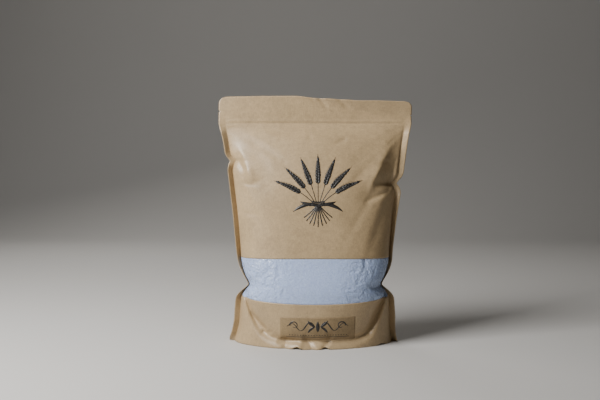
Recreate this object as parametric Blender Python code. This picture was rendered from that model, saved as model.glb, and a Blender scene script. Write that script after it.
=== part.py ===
"""A full stand-up pouch of flour: kraft paper, clear window band, plain front label.

Metres. +X is to the right of someone facing the pouch, +Y goes to its back, +Z is up.
The pouch stands on Z = 0, and its bounding box is centred on X = 0 and Y = 0.
"""

import functools
import math
from collections import namedtuple

import bmesh
import bpy
from mathutils import Vector

MM = 0.001

# The flat pouch, before it was filled.
FLAT_WIDTH = 235 * MM
SEAL_WIDTH = 8 * MM
SEAL_THICKNESS = 1.0 * MM
TOP_CORNER_RADIUS = 9 * MM

# The standing pouch.
HEIGHT = 301 * MM
ZIP_HEIGHT = 269 * MM
ZIP_RIDGE = 0.5 * MM
ZIP_HALF_BAND = 1.5 * MM
WAIST_HEIGHT = 70 * MM
WAIST_PINCH = 10.5 * MM
WAIST_REACH_UP = 34 * MM
WAIST_REACH_DOWN = 19 * MM
WAIST_SQUEEZE = 3 * MM
WAIST_SQUEEZE_REACH = 31 * MM
WAIST_SQUEEZE_SHIFT = 0.4

# The body between the side seals, at the heights that set its form.
Station = namedtuple("Station", "height half_width front back lean roundness")
STATIONS = (
    Station(0 * MM, 98.5 * MM, 51.5 * MM, 50 * MM, 0 * MM, 1.7),
    Station(30 * MM, 92 * MM, 52 * MM, 51 * MM, 0 * MM, 1.85),
    Station(62 * MM, 90.5 * MM, 53 * MM, 53 * MM, 0 * MM, 2.4),
    Station(100 * MM, 90.5 * MM, 46 * MM, 46 * MM, 0 * MM, 2.55),
    Station(145 * MM, 93 * MM, 37.5 * MM, 36 * MM, -1.5 * MM, 2.5),
    Station(190 * MM, 98 * MM, 30 * MM, 27 * MM, -3 * MM, 2.3),
    Station(222 * MM, 102 * MM, 22 * MM, 18 * MM, -2.5 * MM, 2.0),
    Station(246 * MM, 105.5 * MM, 12.5 * MM, 9.5 * MM, -1 * MM, 1.75),
    Station(267 * MM, 109.5 * MM, 0 * MM, 0 * MM, 0 * MM, 1.7),
)

# Towards the ground the right side seal's foot is drawn in.
FOOT_DRAW = 3.5 * MM
FOOT_DRAW_LOW, FOOT_DRAW_HIGH = 6 * MM, 32 * MM

# How far each side seal is turned to the back, in degrees at heights. Minus is forwards.
LEFT_SEAL_FOLD = (
    (0, 30), (5, -5), (10, -22), (22, -26), (34, -22), (45, -28), (72, -80), (95, -66), (120, -46),
    (150, -40), (205, -44), (213, -44), (222, -14), (236, -40), (254, -32), (266, -6), (284, 0),
)
RIGHT_SEAL_FOLD = (
    (0, -36), (25, -32), (45, -34), (72, -80), (95, -66), (120, -60),
    (150, -46), (178, -28), (195, -4), (208, -14), (222, -10), (254, -24), (266, -6), (284, 0),
)

# Buckles, where a side seal gives way inwards: side, height, depth, reach.
BUCKLES = ((-1, 222 * MM, 6 * MM, 12 * MM), (1, 195 * MM, 7 * MM, 13 * MM))

# The seam between the skirt and the gusset, a U that runs up into the side seals.
SEAM_LOW = 9 * MM
SEAM_HIGH = 76 * MM
SEAM_POWER = 5
SEAM_DEPTH = 6.5 * MM
SEAM_REACH_UP = 22 * MM
SEAM_REACH_DOWN = 10 * MM

# How far the header's top edge sits low, in millimetres at places across.
HEADER_DROPS = (
    (-118, 1.0), (-90, 0.4), (-55, 0), (-25, 0), (-10, 1.4), (4, 3.0), (18, 3.3),
    (26, 4.1), (41, 4.8), (50, 5.6), (75, 5.7), (90, 6.2), (118, 7.0),
)
# The header above the zip: its right half leans forward over a slanting fold.
HEADER_LEAN = -0.3
HEADER_FLAT_MARGIN = 4 * MM
HEADER_FOLD_START = (-16 * MM, 300 * MM)
HEADER_FOLD_END = (64 * MM, 285 * MM)
# The header bows: its two ends stand this far back at the top.
HEADER_BOW = 4 * MM
NOTCH_HEIGHT = 283 * MM
NOTCH_DEPTH = 2.2 * MM
NOTCH_HALF_HEIGHT = 0.9 * MM

# The window band, the film in it and the flour behind the film.
WINDOW_LOW = 54 * MM
WINDOW_HIGH = 107 * MM
FILM_THICKNESS = 0.8 * MM
GAP = 0.3 * MM
WINDOW_MARGIN = 3 * MM
POCKET_FLOOR = 1.5 * MM

# The front label.
LABEL_WIDTH = 89 * MM
LABEL_HEIGHT = 28 * MM
LABEL_CENTRE_X = 4.5 * MM
LABEL_CENTRE_Z = 25.5 * MM
LABEL_THICKNESS = 0.4 * MM
LABEL_GAP = 0.4 * MM
LABEL_COLUMNS, LABEL_ROWS = 30, 9
LABEL_CAST_FROM_Y = -0.1

# The base: the skirt's rim, a groove at its seam, and the gusset lying flat on the ground.
# Towards the side seals, where the base is narrow, its steps shrink to shares of its depth.
RIM_WIDTH = 2 * MM
GROOVE_DEPTH = 4 * MM
NARROW_BASE, WIDE_BASE = 6 * MM, 30 * MM
BASE_STEPS = ((1, 0.14, 0), (2, 0.24, 1), (5, 0.36, 0))  # rim widths in, most share of depth, groove

# How finely the surfaces are cut: columns across a panel, rows in each stretch of height.
COLUMNS = 34
ARC_SAMPLES = 240
MERGE_DISTANCE = 0.02 * MM
Stretch = namedtuple("Stretch", "low high rows")
SKIRT_ROWS = (Stretch(0, 16 * MM, 5), Stretch(16 * MM, WINDOW_LOW, 7))
WINDOW_ROWS = (
    Stretch(WINDOW_LOW, 66 * MM, 2),
    Stretch(66 * MM, 78 * MM, 4),
    Stretch(78 * MM, WINDOW_HIGH, 4),
)
BODY_ROWS = (
    Stretch(WINDOW_HIGH, 180 * MM, 8),
    Stretch(180 * MM, 237 * MM, 12),
    Stretch(237 * MM, 265 * MM, 4),
)
HEADER_ROWS = (
    Stretch(275 * MM, 280 * MM, 1),
    Stretch(287 * MM, HEIGHT - TOP_CORNER_RADIUS, 1),
    Stretch(HEIGHT - TOP_CORNER_RADIUS, HEIGHT, 6),
)

# Creases in millimetres: where each starts and ends, how deep it is and how far its sides reach.
Crease = namedtuple("Crease", "start end depth reach_up reach_down")
FRONT_CREASES = (
    Crease((-98, 223), (-80, 207), 4.5, 16, 10),
    Crease((-80, 207), (-62, 204), 1.2, 6, 6),
    Crease((96, 196), (72, 195), 6.5, 22, 10),
    Crease((84, 190), (60, 172), 3.0, 10, 9),
    Crease((-90, 72), (-62, 80), 4.0, 12, 10),
    Crease((90, 72), (66, 76), 4.5, 12, 9),
    Crease((78, 46), (62, 14), 5.5, 6, 16),
    Crease((-36, 0), (-35, 15), 2.8, 8, 9),
    Crease((-4, 1), (-15, 18), 2.6, 5, 7),
    Crease((11, 1), (21, 21), 3.2, 5, 8),
)
BACK_CREASES = (
    Crease((-98, 210), (-70, 200), 5.0, 16, 10),
    Crease((99, 205), (74, 190), 5.0, 16, 10),
    Crease((-90, 72), (-60, 77), 4.5, 12, 10),
    Crease((90, 72), (62, 80), 4.0, 12, 10),
    Crease((-30, 0), (-22, 18), 2.5, 8, 7),
    Crease((24, 0), (34, 20), 2.8, 8, 7),
)

# A fold fades out where the panel stands out less than this, and leaves this share of it.
FOLD_FADE = 14 * MM
LEAST_BULGE = 0.15

# Flats pressed into the shoulders: three points of the surface that each flat passes through,
# then the middle of the flat and how far it reaches. Past its core it fades out.
FLAT_CORE = 0.8
Flat = namedtuple("Flat", "points centre reach")
FRONT_FLATS = (
    Flat(((-109, 264), (-74, 240), (-88, 208)), (-90, 238), 42),
    Flat(((109, 264), (76, 200), (96, 196)), (94, 224), 46),
)
BACK_FLATS = (
    Flat(((-109, 264), (-70, 222), (-92, 206)), (-90, 230), 44),
    Flat(((109, 264), (68, 228), (94, 204)), (92, 232), 44),
)

KRAFT = (0.52, 0.40, 0.25, 1)
KRAFT_LABEL = (0.45, 0.34, 0.20, 1)
FILM = (0.75, 0.80, 0.88, 0.6)
FLOUR = (0.88, 0.88, 0.86, 1)


def clear_scene():
    for obj in list(bpy.data.objects):
        bpy.data.objects.remove(obj, do_unlink=True)


def material(name, colour, roughness):
    made = bpy.data.materials.new(name)
    made.use_nodes = True
    shader = made.node_tree.nodes["Principled BSDF"]
    shader.inputs["Base Color"].default_value = colour
    shader.inputs["Roughness"].default_value = roughness
    return made


def smoothstep(low, high, value):
    share = min(max((value - low) / (high - low), 0), 1)
    return share * share * (3 - 2 * share)


def cusp(offset, reach_up, reach_down):
    """1 on a fold line, falling to 0 at its reach on either side, with a crease at the line."""
    share = 1 - abs(offset) / (reach_up if offset > 0 else reach_down)
    return share * share if share > 0 else 0


def through(points, value):
    """Smooth monotone curve through (position, height) points."""
    if value <= points[0][0]:
        return points[0][1]
    if value >= points[-1][0]:
        return points[-1][1]
    slopes = [(b[1] - a[1]) / (b[0] - a[0]) for a, b in zip(points, points[1:])]
    i = next(k for k in range(len(slopes)) if value <= points[k + 1][0])

    def tangent(k):
        if k == 0 or k == len(slopes):
            return slopes[min(k, len(slopes) - 1)]
        before, after = slopes[k - 1], slopes[k]
        return 0 if before * after <= 0 else 2 * before * after / (before + after)

    width = points[i + 1][0] - points[i][0]
    t = (value - points[i][0]) / width
    return (
        points[i][1] * (1 + 2 * t) * (1 - t) ** 2
        + tangent(i) * width * t * (1 - t) ** 2
        + points[i + 1][1] * t * t * (3 - 2 * t)
        + tangent(i + 1) * width * t * t * (t - 1)
    )


@functools.cache
def station(field, z):
    return through([(s.height, getattr(s, field)) for s in STATIONS], z)


@functools.cache
def root_half_width(side, z):
    """Half width to the inner edge of a side seal, with the pinched waist, a buckle and the foot."""
    width = station("half_width", z)
    width -= WAIST_PINCH * cusp(z - WAIST_HEIGHT, WAIST_REACH_UP, WAIST_REACH_DOWN) ** 0.8
    for buckle_side, height, depth, reach in BUCKLES:
        if buckle_side == side:
            width -= depth * cusp(z - height, reach, reach)
    if side > 0:
        width -= FOOT_DRAW * (1 - smoothstep(FOOT_DRAW_LOW, FOOT_DRAW_HIGH, z))
    return width


def seal_fold(side, z):
    fold = LEFT_SEAL_FOLD if side < 0 else RIGHT_SEAL_FOLD
    return math.radians(through(fold, z / MM))


def seam_height(x, z):
    share = min(abs(x) / station("half_width", z), 1)
    return SEAM_LOW + (SEAM_HIGH - SEAM_LOW) * share**SEAM_POWER


def crease_depth(crease, x, z):
    ax, az = (v * MM for v in crease.start)
    bx, bz = (v * MM for v in crease.end)
    dx, dz = bx - ax, bz - az
    length = math.hypot(dx, dz)
    share = min(max(((x - ax) * dx + (z - az) * dz) / length**2, -0.3), 1)
    nearest_x, nearest_z = ax + share * dx, az + share * dz
    away = math.hypot(x - nearest_x, z - nearest_z)
    up = z - nearest_z if abs(dx) > abs(dz) else x - nearest_x
    fade = math.sqrt(max(1 - share**2, 0)) if share > 0 else 1
    offset = math.copysign(away, up)
    return crease.depth * MM * fade * cusp(offset, crease.reach_up * MM, crease.reach_down * MM)


def bulge(side_y, x, z):
    """How far the plain surface stands out from the mid-plane at x, for the front (-1) or back (1)."""
    full = station("half_width", z)
    half = root_half_width(1 if x > 0 else -1, z)
    # A pinch moves the surface near the seal, and hardly the middle.
    share = min(abs(x) / full + (full - half) / full * (abs(x) / half) ** 5, 1)
    roundness = station("roundness", z)
    deep = station("front" if side_y < 0 else "back", z)
    return deep * (1 - share**roundness) ** (1 / roundness)


@functools.cache
def flat_plane(points, side_y):
    """Bulge at the first point, and its slopes along X and Z, of the plane through the points."""
    (x0, z0), (x1, z1), (x2, z2) = [(px * MM, pz * MM) for px, pz in points]
    y0, y1, y2 = (bulge(side_y, px, pz) for px, pz in ((x0, z0), (x1, z1), (x2, z2)))
    det = (x1 - x0) * (z2 - z0) - (x2 - x0) * (z1 - z0)
    along_x = ((y1 - y0) * (z2 - z0) - (y2 - y0) * (z1 - z0)) / det
    along_z = ((x1 - x0) * (y2 - y0) - (x2 - x0) * (y1 - y0)) / det
    return x0, z0, y0, along_x, along_z


def flat_bulge(flat, side_y, x, z):
    """The bulge that the flat's plane would give at x, z."""
    x0, z0, y0, along_x, along_z = flat_plane(flat.points, side_y)
    return y0 + along_x * (x - x0) + along_z * (z - z0)


def folded_bulge(side_y, x, z):
    """The bulge with its flats, its seam valley and its creases."""
    out = bulge(side_y, x, z)
    plain = out
    for flat in FRONT_FLATS if side_y < 0 else BACK_FLATS:
        away = math.hypot(x - flat.centre[0] * MM, z - flat.centre[1] * MM)
        weight = 1 - smoothstep(FLAT_CORE * flat.reach * MM, flat.reach * MM, away)
        out -= weight * max(out - flat_bulge(flat, side_y, x, z), 0)
    seam = SEAM_DEPTH * cusp(z - seam_height(x, z), SEAM_REACH_UP, SEAM_REACH_DOWN)
    creases = FRONT_CREASES if side_y < 0 else BACK_CREASES
    fold = seam + sum(crease_depth(crease, x, z) for crease in creases)
    return max(out - fold * smoothstep(0, FOLD_FADE, plain), LEAST_BULGE * out)


def header_shift(x, z):
    """How far a point of the header is moved back and down."""
    rise = max(z - ZIP_HEIGHT, 0)
    share = rise / (HEIGHT - ZIP_HEIGHT)
    (x0, z0), (x1, z1) = HEADER_FOLD_START, HEADER_FOLD_END
    fold = z0 + (z1 - z0) * (x - x0) / (x1 - x0)
    back = HEADER_LEAN * max(z - max(fold, ZIP_HEIGHT + HEADER_FLAT_MARGIN), 0)
    bow = HEADER_BOW * share * (2 * x / FLAT_WIDTH) ** 2
    return back + bow, through(HEADER_DROPS, x / MM) * MM * share


def waist_squeeze(x, z):
    """How far a point beside the waist is drawn towards it in height by the pinched side seals."""
    away = (z - WAIST_HEIGHT) / WAIST_SQUEEZE_REACH
    share = min(abs(x) / station("half_width", z), 1)
    draw = (away - WAIST_SQUEEZE_SHIFT) * math.exp((1 - away**2) / 2) * smoothstep(0, WINDOW_LOW, z)
    return WAIST_SQUEEZE * share**2 * draw


def header_half_width(z):
    """Half width of the header, with its rounded top corners."""
    over = min(max(z - (HEIGHT - TOP_CORNER_RADIUS), 0), TOP_CORNER_RADIUS)
    return FLAT_WIDTH / 2 - TOP_CORNER_RADIUS + math.sqrt(TOP_CORNER_RADIUS**2 - over**2)


def panel_points(side_y, z):
    """Points (x, y) along a panel between its side seals: the window's edges, and COLUMNS between."""
    lean = station("lean", z)
    swept = []
    for i in range(ARC_SAMPLES + 1):
        share = math.sin(math.pi * (i / ARC_SAMPLES - 0.5))
        x = share * root_half_width(1 if share > 0 else -1, z)
        swept.append((x, folded_bulge(side_y, x, z)))
    lengths = [0.0]
    for a, b in zip(swept, swept[1:]):
        lengths.append(lengths[-1] + math.dist(a, b))
    inner = lengths[-1] - 2 * WINDOW_MARGIN
    wanted_lengths = [WINDOW_MARGIN + inner * column / COLUMNS for column in range(COLUMNS + 1)]
    points = []
    i = 0
    for wanted in [0, *wanted_lengths, lengths[-1]]:
        while i < ARC_SAMPLES - 1 and lengths[i + 1] < wanted:
            i += 1
        t = (wanted - lengths[i]) / (lengths[i + 1] - lengths[i])
        x = swept[i][0] + t * (swept[i + 1][0] - swept[i][0])
        out = swept[i][1] + t * (swept[i + 1][1] - swept[i][1])
        points.append((x, lean + side_y * (SEAL_THICKNESS / 2 + out)))
    return points


def seal_points(side, z):
    """Front and back points of a side seal's outer edge."""
    fold = seal_fold(side, z)
    outer = min(root_half_width(side, z) + SEAL_WIDTH * math.cos(fold), header_half_width(z))
    outer -= NOTCH_DEPTH * max(1 - abs(z - NOTCH_HEIGHT) / NOTCH_HALF_HEIGHT, 0)
    y = station("lean", z) + SEAL_WIDTH * math.sin(fold)
    nx, ny = SEAL_THICKNESS / 2 * math.sin(fold), SEAL_THICKNESS / 2 * math.cos(fold)
    return (side * (outer + nx), y - ny), (side * (outer - nx), y + ny)


def ring(z, pocket=False):
    """One closed cross-section as (front points, back points), left to right."""
    zip_ridge = ZIP_RIDGE * max(1 - abs(z - ZIP_HEIGHT) / ZIP_HALF_BAND, 0)
    scale = min(1, (header_half_width(z) - SEAL_WIDTH) / station("half_width", z))
    rows = {}
    for side_y in (-1, 1):
        points = [(x * scale, y + side_y * zip_ridge) for x, y in panel_points(side_y, z)]
        inner = points[1:-1]
        if pocket and side_y < 0:
            inner = [(x, station("lean", z) - POCKET_FLOOR) for x, y in inner]
        points = [*points[:2], *inner, *points[-2:]]
        left, right = seal_points(-1, z), seal_points(1, z)
        pick = 0 if side_y < 0 else 1
        rows[side_y] = [left[pick], *points, right[pick]]
    return rows[-1], rows[1]


def placed(x, y, z):
    """The point with the header's lean and sag and the waist's squeeze."""
    back, down = header_shift(x, z)
    return Vector((x, y + back, z - down - waist_squeeze(x, z)))


def heights_in(stretches):
    """Heights of the rows in these stretches, both ends included, low to high."""
    heights = set()
    for stretch in stretches:
        step = (stretch.high - stretch.low) / stretch.rows
        heights |= {round(stretch.low + i * step, 6) for i in range(stretch.rows + 1)}
    return sorted(heights)


def row_heights():
    """Heights of the cross-sections, with True for a row inside the window's pocket."""
    plain = heights_in(BODY_ROWS) + [ZIP_HEIGHT + i * ZIP_HALF_BAND for i in (-1, 0, 1)]
    notches = [NOTCH_HEIGHT + i * NOTCH_HALF_HEIGHT for i in (-1, 0, 1)]
    plain += sorted(heights_in(HEADER_ROWS) + notches)
    rows = [(z, False) for z in heights_in(SKIRT_ROWS)]
    rows += [(z, True) for z in heights_in(WINDOW_ROWS)]
    return rows + [(z, False) for z in plain]


def base_strip(front, back):
    """Points across the base from a front rim point to the back one."""
    (fx, fy, _), (bx, by, _) = front, back
    span = by - fy
    groove = GROOVE_DEPTH * smoothstep(NARROW_BASE, WIDE_BASE, span)
    near = [(min(widths * RIM_WIDTH, share * span), deep * groove) for widths, share, deep in BASE_STEPS]
    steps = near + [(span / 2, 0)] + [(span - d, z) for d, z in reversed(near)]
    return [(fx + (bx - fx) * d / span, fy + d, z) for d, z in steps]


def grid_faces(bm, rows, mirrored=False):
    """Triangles between successive rows of vertices, cut along the same diagonal when mirrored."""
    for lower, upper in zip(rows, rows[1:]):
        for i in range(len(lower) - 1):
            a, b, c, d = lower[i], lower[i + 1], upper[i + 1], upper[i]
            cuts = ((a, b, d), (b, c, d)) if mirrored else ((a, b, c), (a, c, d))
            for corners in cuts:
                bm.faces.new(corners)


def mesh_object(name, bm, look):
    bmesh.ops.remove_doubles(bm, verts=bm.verts, dist=MERGE_DISTANCE)
    mesh = bpy.data.meshes.new(name)
    bm.to_mesh(mesh)
    bm.free()
    mesh.materials.append(look)
    mesh.shade_smooth()
    mesh.set_sharp_from_angle(angle=math.radians(40))
    obj = bpy.data.objects.new(name, mesh)
    bpy.context.collection.objects.link(obj)
    return obj


def make_pouch(look):
    bm = bmesh.new()
    rows = []
    for z, pocket in row_heights():
        front, back = ring(z, pocket)
        points = [placed(x, y, z) for x, y in front] + [placed(x, y, z) for x, y in reversed(back)]
        rows.append([bm.verts.new(p) for p in points + points[:1]])
    grid_faces(bm, rows)
    half = (len(rows[0]) - 1) // 2
    bottom, top = rows[0], rows[-1]
    # The ring runs along the front and back again, so each front point has one opposite.
    opposite = [2 * half - 1 - i for i in range(half)]
    strips = []
    for i in range(1, half - 1):
        front, back = bottom[i], bottom[opposite[i]]
        across = base_strip(front.co, back.co)
        strips.append([front, *(bm.verts.new(p) for p in across), back])
    grid_faces(bm, strips)
    bm.faces.new([bottom[0], bottom[opposite[0]], *reversed(strips[0])])
    bm.faces.new([*strips[-1], bottom[opposite[-1]], bottom[half - 1]])
    grid_faces(bm, [[top[opposite[i]], top[i]] for i in range(half)])
    return mesh_object("pouch", bm, look)


def slab(name, rows_near, rows_far, look):
    """A closed slab between two grids of points of the same size."""
    bm = bmesh.new()
    near = [[bm.verts.new(p) for p in row] for row in rows_near]
    far = [[bm.verts.new(p) for p in row] for row in rows_far]
    grid_faces(bm, near)
    grid_faces(bm, [row[::-1] for row in far], mirrored=True)
    grid_faces(bm, [far[0], near[0]])
    grid_faces(bm, [near[-1], far[-1]])
    grid_faces(bm, [[row[0] for row in near], [row[0] for row in far]])
    grid_faces(bm, [[row[-1] for row in far], [row[-1] for row in near]])
    return mesh_object(name, bm, look)


def window_surface():
    """Grid of points of the window, on the pouch's surface and clear of the pocket's sides."""
    heights = [z for z, pocket in row_heights() if pocket]
    heights[0] += GAP
    heights[-1] -= GAP
    grid = []
    for z in heights:
        points = panel_points(-1, z)[1:-1]
        left, right = points[0][0] + GAP, points[-1][0] - GAP
        grid.append([placed(min(max(x, left), right), y, z) for x, y in points])
    return grid


def sunk(grid, depth):
    """The grid moved into the pouch along its normals, its edge rows kept at their height."""
    last_row, last_column = len(grid) - 1, len(grid[0]) - 1
    moved = []
    for i, row in enumerate(grid):
        below, above = grid[max(i - 1, 0)], grid[min(i + 1, last_row)]
        line = []
        for j, point in enumerate(row):
            across = row[min(j + 1, last_column)] - row[max(j - 1, 0)]
            normal = across.cross(above[j] - below[j]).normalized()
            new = point - depth * normal
            if i in (0, last_row):
                new.z = point.z
            new.x = min(max(new.x, row[0].x), row[-1].x)
            line.append(new)
        moved.append(line)
    return moved


def make_film(look):
    surface = window_surface()
    return slab("window_film", surface, sunk(surface, FILM_THICKNESS), look)


def make_flour(look):
    face = sunk(window_surface(), FILM_THICKNESS + GAP)
    floor = [[Vector((p.x, station("lean", p.z) - POCKET_FLOOR - GAP, p.z)) for p in row] for row in face]
    return slab("flour", face, floor, look)


def make_label(pouch, look):
    """The label's outline laid on the front of the skirt, a hair's breadth clear of it."""
    bm = bmesh.new()
    grid = []
    for row in range(LABEL_ROWS + 1):
        z = LABEL_CENTRE_Z + LABEL_HEIGHT * (row / LABEL_ROWS - 0.5)
        line = []
        for column in range(LABEL_COLUMNS + 1):
            x = LABEL_CENTRE_X + LABEL_WIDTH * (column / LABEL_COLUMNS - 0.5)
            line.append(bm.verts.new((x, LABEL_CAST_FROM_Y, z)))
        grid.append(line)
    grid_faces(bm, grid)
    label = mesh_object("front_label", bm, look)
    wrap = label.modifiers.new("On the skirt", "SHRINKWRAP")
    wrap.target = pouch
    wrap.wrap_method = "PROJECT"
    wrap.use_project_y = True
    wrap.use_positive_direction = True
    wrap.offset = LABEL_GAP
    thick = label.modifiers.new("Sheet", "SOLIDIFY")
    thick.thickness = LABEL_THICKNESS
    thick.offset = 1
    return label


def centre_on_origin(objects):
    """Moves all the meshes together, so that their box is centred on the origin."""
    corners = [v.co for obj in objects for v in obj.data.vertices]
    shift_x = -(min(c.x for c in corners) + max(c.x for c in corners)) / 2
    shift_y = -(min(c.y for c in corners) + max(c.y for c in corners)) / 2
    for obj in objects:
        for vertex in obj.data.vertices:
            vertex.co.x += shift_x
            vertex.co.y += shift_y


def main():
    clear_scene()
    pouch = make_pouch(material("kraft_paper", KRAFT, 0.6))
    film = make_film(material("window_film", FILM, 0.2))
    flour = make_flour(material("flour", FLOUR, 0.9))
    centre_on_origin([pouch, film, flour])
    make_label(pouch, material("label_paper", KRAFT_LABEL, 0.55))


main()
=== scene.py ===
"""A full stand-up pouch of flour, dressed over its CAD frame: crumpled kraft paper with flat heat
seals, a milky window band with the flour behind it, a printed wheat sheaf and a front label.

Metres. +X is to the right of someone facing the pouch, +Y goes to its back, +Z is up.
"""

import math
from collections import namedtuple

import bpy
import numpy as np
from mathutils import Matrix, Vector


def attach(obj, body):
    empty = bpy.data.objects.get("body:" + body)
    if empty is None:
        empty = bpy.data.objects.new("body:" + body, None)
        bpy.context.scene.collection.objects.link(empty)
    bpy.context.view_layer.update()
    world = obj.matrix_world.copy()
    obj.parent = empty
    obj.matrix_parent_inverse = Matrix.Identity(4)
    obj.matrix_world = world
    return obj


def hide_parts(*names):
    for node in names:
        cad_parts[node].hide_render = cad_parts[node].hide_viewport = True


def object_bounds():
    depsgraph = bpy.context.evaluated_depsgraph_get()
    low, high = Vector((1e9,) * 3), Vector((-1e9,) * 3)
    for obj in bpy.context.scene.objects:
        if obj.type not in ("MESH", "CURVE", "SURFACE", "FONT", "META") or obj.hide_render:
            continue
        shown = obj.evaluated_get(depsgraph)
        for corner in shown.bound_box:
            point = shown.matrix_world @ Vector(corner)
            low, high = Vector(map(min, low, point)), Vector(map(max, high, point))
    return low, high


bl_info = {
    "name": "Flour pouch",
    "version": (1, 0, 0),
    "blender": (4, 5, 0),
    "location": "View3D > Sidebar > Flour pouch",
    "description": "Builds a full stand-up flour pouch with a clear window, a print and a label",
    "category": "Add Mesh",
}

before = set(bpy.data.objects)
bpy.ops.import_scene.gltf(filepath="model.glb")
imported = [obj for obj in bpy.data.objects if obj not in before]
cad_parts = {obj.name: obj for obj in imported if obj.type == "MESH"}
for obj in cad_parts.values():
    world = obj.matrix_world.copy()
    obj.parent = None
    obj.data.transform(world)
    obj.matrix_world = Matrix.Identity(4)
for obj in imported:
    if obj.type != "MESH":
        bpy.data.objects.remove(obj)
CAD_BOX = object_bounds()

MM = 0.001

# The flat pouch: its width, its seals, and its height with the zip under the flat header.
FLAT_WIDTH = 235 * MM
SEAL_WIDTH = 8 * MM
PANEL_WIDTH = FLAT_WIDTH - 2 * SEAL_WIDTH
HEIGHT = 301 * MM
ZIP_HEIGHT = 267 * MM
# The zip's two ridges. Over the fade they end beside the seals, and above the zip the header's
# lean sets in.
ZIP_RIDGES = (265.5 * MM, 270.5 * MM)
ZIP_RIDGE_RISE = 0.45 * MM
ZIP_RIDGE_REACH = 2.2 * MM
ZIP_FADE = 6 * MM
# The header's rounded top corners, and its tear notches by side and height.
TOP_CORNER_RADIUS = 9 * MM
CORNER_ZONE = 13 * MM
NOTCHES = ((-1, 282.58 * MM), (1, 279.75 * MM))
NOTCH_DEPTH = 1.6 * MM
NOTCH_REACH = 1.4 * MM

# The shape of the full pouch between its side seals, as in the CAD model.
Station = namedtuple("Station", "height half_width front back lean roundness")
STATIONS = (
    Station(0 * MM, 98.5 * MM, 51.5 * MM, 50 * MM, 0 * MM, 1.7),
    Station(30 * MM, 92 * MM, 52 * MM, 51 * MM, 0 * MM, 1.85),
    Station(62 * MM, 90.5 * MM, 53 * MM, 53 * MM, 0 * MM, 2.4),
    Station(100 * MM, 90.5 * MM, 46 * MM, 46 * MM, 0 * MM, 2.55),
    Station(145 * MM, 93 * MM, 37.5 * MM, 36 * MM, -1.5 * MM, 2.5),
    Station(190 * MM, 98 * MM, 30 * MM, 27 * MM, -3 * MM, 2.3),
    Station(222 * MM, 102 * MM, 22 * MM, 18 * MM, -2.5 * MM, 2.0),
    Station(246 * MM, 105.5 * MM, 12.5 * MM, 9.5 * MM, -1 * MM, 1.75),
    Station(ZIP_HEIGHT, 109.5 * MM, 0 * MM, 0 * MM, 0 * MM, 1.7),
)
# A pinch in the sides acts mostly beside the seals.
PINCH_POWER = 5
# The waist under the window: its sides are pinched in, and the paper beside it is drawn to it.
WAIST_HEIGHT = 70 * MM
WAIST_PINCH = 10.5 * MM
WAIST_SHARPNESS = 0.8
WAIST_REACH_UP = 34 * MM
WAIST_REACH_DOWN = 19 * MM
WAIST_SQUEEZE = 3 * MM
WAIST_SQUEEZE_REACH = 31 * MM
WAIST_SQUEEZE_SHIFT = 0.4
# Towards the ground the right side seal's foot is drawn in.
FOOT_DRAW = 3.5 * MM
FOOT_DRAW_LOW, FOOT_DRAW_HIGH = 6 * MM, 32 * MM
# How far each side seal is turned to the back, in degrees at heights. Minus is forwards.
LEFT_SEAL_FOLD = (
    (0, 30), (5, -5), (10, -22), (22, -26), (34, -22), (45, -28), (72, -80), (95, -66), (120, -46),
    (150, -40), (205, -44), (213, -44), (222, -14), (236, -40), (254, -32), (266, -6), (284, 0),
)
RIGHT_SEAL_FOLD = (
    (0, -36), (25, -32), (45, -34), (72, -80), (95, -66), (120, -60),
    (150, -46), (178, -28), (195, -4), (208, -14), (222, -10), (254, -24), (266, -6), (284, 0),
)
# The buckles in the side seals: side, height, depth and reach.
BUCKLES = ((-1, 222 * MM, 6 * MM, 12 * MM), (1, 195 * MM, 7 * MM, 13 * MM))
# The curved seam over the skirt: its height in the middle and at the sides, how late it climbs,
# and the valley along it.
SEAM_LOW = 9 * MM
SEAM_HIGH = 76 * MM
SEAM_POWER = 5
SEAM_DEPTH = 6.5 * MM
SEAM_REACH_UP = 22 * MM
SEAM_REACH_DOWN = 10 * MM
# How far the header's top edge sits low, in millimetres at places across.
HEADER_DROPS = (
    (-118, 1.0), (-90, 0.4), (-55, 0), (-25, 0), (-10, 1.4), (4, 3.0), (18, 3.3),
    (26, 4.1), (41, 4.8), (50, 5.6), (75, 5.7), (90, 6.2), (118, 7.0),
)
# Above a slanting fold the header leans forwards: the slope to the back, the fold's softness and
# where it runs.
HEADER_LEAN = -0.3
HEADER_FOLD_SOFTNESS = 3 * MM
HEADER_FOLD_START = (-16 * MM, 300 * MM)
HEADER_FOLD_END = (64 * MM, 285 * MM)
# The header bows: its two ends stand this far back at the top.
HEADER_BOW = 4 * MM
# The window band's lower and upper edge.
WINDOW_LOW = 54 * MM
WINDOW_HIGH = 107 * MM
# Folds have their full depth where the pouch is this full, always leave this share of it, and
# are rounded this much along their line.
FOLD_FADE = 14 * MM
LEAST_BULGE = 0.15
FOLD_SOFTNESS = 1.1 * MM

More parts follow.
